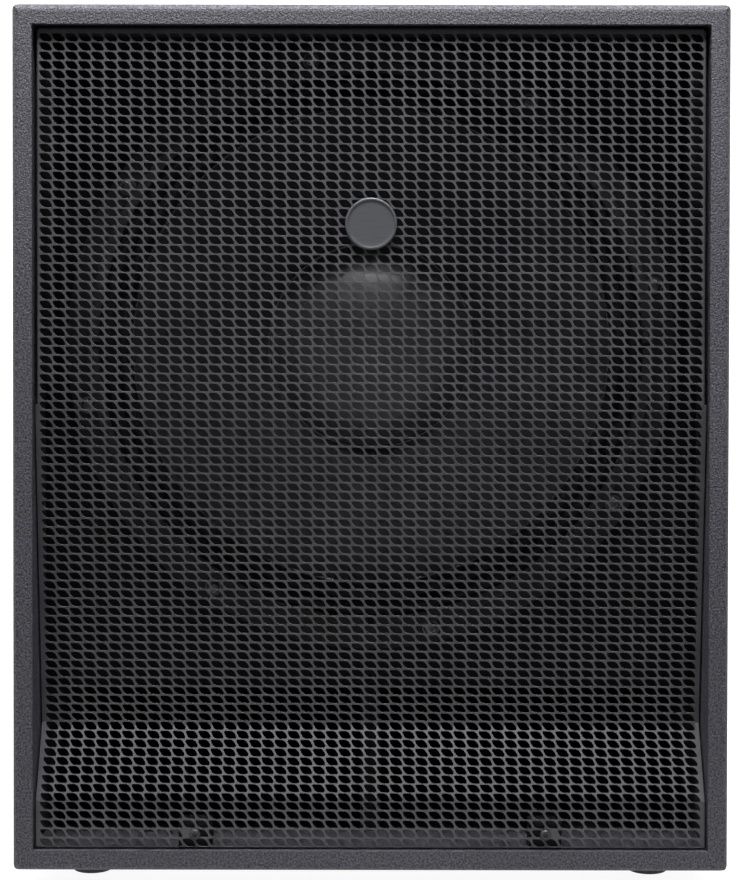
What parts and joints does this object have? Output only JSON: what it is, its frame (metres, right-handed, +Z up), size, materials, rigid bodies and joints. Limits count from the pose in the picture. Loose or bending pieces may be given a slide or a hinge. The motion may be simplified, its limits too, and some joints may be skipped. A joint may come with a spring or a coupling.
{
  "type": "loudspeaker cabinet",
  "caption": "Tall box bass loudspeaker with a bent perforated steel grille, one large cone driver behind it, a divided slot port, side handles, pole socket and rear sockets.",
  "frame": {"origin": "middle of the footprint, on the plane under the rubber feet", "axes": "+Z up, front grille faces -Y, +X is the right side seen from the front"},
  "size_m": [0.525, 0.6, 0.647],
  "materials": {
    "painted_wood": "textured black paint",
    "inner_wood": "black stain",
    "plywood": "bare birch plywood",
    "grille_steel": "powder coat",
    "badge_metal": "painted grey",
    "zinc_steel": "zinc plated",
    "black_steel": "powder coat",
    "motor_steel": "black passivated",
    "cast_frame": "black paint",
    "ferrite": "dark grey ferrite",
    "rubber": "matt",
    "surround_cloth": "treated cloth",
    "cone_paper": "black pulp",
    "cap_paper": "satin lacquer",
    "coil_kapton": "amber film",
    "copper": "enamelled copper wire",
    "spider_cloth": "resin treated cloth",
    "terminal_plastic": "moulded",
    "lead_braid": "tinned copper braid",
    "cable_sheath": "black sheath",
    "socket_plastic": "moulded",
    "core_plastic": "moulded blue",
    "wadding": "polyester wadding"
  },
  "bodies": {
    "cabinet": {"top_panel": "painted_wood", "bottom_panel": "painted_wood", "left_side_panel": "painted_wood", "right_side_panel": "painted_wood", "back_panel": "painted_wood", "front_baffle": "inner_wood", "port_shelf": "inner_wood", "port_divider": "inner_wood", "cross_brace": "plywood", "grille": "grille_steel", "grille_battens": "inner_wood", "grille_screws": "black_steel", "badge": "badge_metal", "badge_clip": "zinc_steel", "woofer_basket": "cast_frame", "woofer_gasket": "rubber", "motor_top_plate": "motor_steel", "magnet_ring": "ferrite", "motor_back_plate": "motor_steel", "woofer_screws": "zinc_steel", "woofer_tee_nuts": "zinc_steel", "terminal_block": "terminal_plastic", "speaker_cable": "cable_sheath", "left_handle_dish": "black_steel", "left_handle_bar": "black_steel", "left_handle_grip": "rubber", "right_handle_dish": "black_steel", "right_handle_bar": "black_steel", "right_handle_grip": "rubber", "handle_screws": "black_steel", "pole_cup": "black_steel", "pole_cup_screws": "black_steel", "connector_dish": "black_steel", "input_socket": "socket_plastic", "link_socket": "socket_plastic", "socket_cores": "core_plastic", "dish_screws": "black_steel", "socket_screws": "zinc_steel", "rubber_feet": "rubber", "foot_washers": "zinc_steel", "foot_screws": "zinc_steel", "back_wadding": "wadding", "left_wadding": "wadding", "right_wadding": "wadding", "top_wadding": "wadding"},
    "diaphragm": {"woofer_surround": "surround_cloth", "woofer_cone": "cone_paper", "dust_cap": "cap_paper", "coil_former": "coil_kapton", "coil_winding": "copper", "spider": "spider_cloth", "tinsel_leads": "lead_braid"}
  },
  "joints": [
    {"name": "cone_travel", "type": "slide", "parent": "cabinet", "child": "diaphragm", "axis": [0, -1, 0], "range_m": [-0.01, 0.01], "stiffness_N_per_m": 9000, "deforming": ["woofer_surround", "spider", "tinsel_leads"]}
  ]
}
